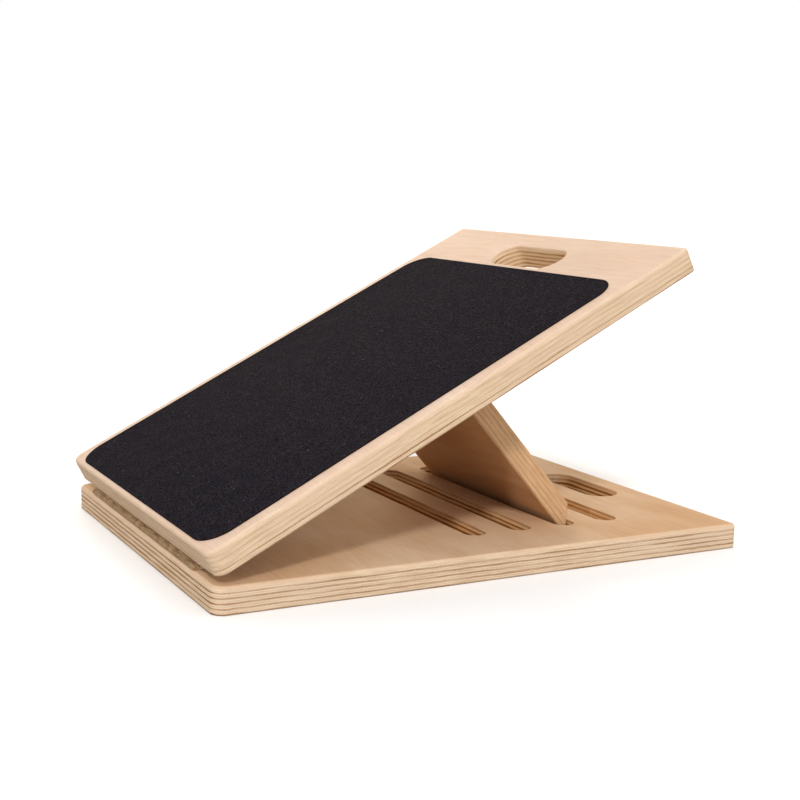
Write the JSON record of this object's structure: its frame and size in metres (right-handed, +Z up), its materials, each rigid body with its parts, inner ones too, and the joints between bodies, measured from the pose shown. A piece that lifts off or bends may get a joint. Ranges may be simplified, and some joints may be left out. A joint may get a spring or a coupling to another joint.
{
  "type": "slant board",
  "caption": "Folding plywood slant board: a hinged top board with a black grip pad, propped by a hinged support board whose foot stands in grooves across the base.",
  "frame": {"origin": "centre of the base board's underside, on the surface that it stands on", "axes": "+X along the hinges, to the right of a person facing the low front edge; +Y from the low front edge to the back; +Z up"},
  "size_m": [0.3, 0.405, 0.2176],
  "materials": {
    "birch_plywood": "pale birch plywood, thin clear satin lacquer, eased edges, plies showing on every edge",
    "grip_sheet": "black mineral grit bonded to a thin sheet, fully matte",
    "hinge_steel": "nickel-plated rolled steel strip, slightly dull",
    "screw_steel": "zinc-plated countersunk wood screws with a cross recess"
  },
  "bodies": {
    "base": {"base_board": "birch_plywood", "front_hinge_base_leaf": "hinge_steel", "front_hinge_pin": "hinge_steel", "front_hinge_base_leaf_screw_1": "screw_steel", "front_hinge_base_leaf_screw_2": "screw_steel", "front_hinge_base_leaf_screw_3": "screw_steel", "front_hinge_base_leaf_screw_4": "screw_steel", "front_hinge_base_leaf_screw_5": "screw_steel"},
    "top": {"top_board": "birch_plywood", "grip_pad": "grip_sheet", "front_hinge_top_leaf": "hinge_steel", "front_hinge_top_leaf_screw_1": "screw_steel", "front_hinge_top_leaf_screw_2": "screw_steel", "front_hinge_top_leaf_screw_3": "screw_steel", "front_hinge_top_leaf_screw_4": "screw_steel", "front_hinge_top_leaf_screw_5": "screw_steel", "support_hinge_board_leaf": "hinge_steel", "support_hinge_board_leaf_screw_1": "screw_steel", "support_hinge_board_leaf_screw_2": "screw_steel", "support_hinge_board_leaf_screw_3": "screw_steel", "support_hinge_board_leaf_screw_4": "screw_steel"},
    "support": {"support_board": "birch_plywood", "support_hinge_support_leaf": "hinge_steel", "support_hinge_pin": "hinge_steel", "support_hinge_support_leaf_screw_1": "screw_steel", "support_hinge_support_leaf_screw_2": "screw_steel", "support_hinge_support_leaf_screw_3": "screw_steel", "support_hinge_support_leaf_screw_4": "screw_steel"}
  },
  "joints": [
    {"name": "board_tilt", "type": "hinge", "parent": "base", "child": "top", "pos_m": [0, -0.198, 0.01985], "axis": [1, 0, 0], "range_deg": [0, 144]},
    {"name": "support_fold", "type": "hinge", "parent": "top", "child": "support", "pos_m": [0, 0.00904, 0.12717], "axis": [1, 0, 0], "range_deg": [0, 72]}
  ],
  "couplings": [
    {"joint": "support_fold", "follows": "board_tilt", "ratio": 0.5}
  ]
}
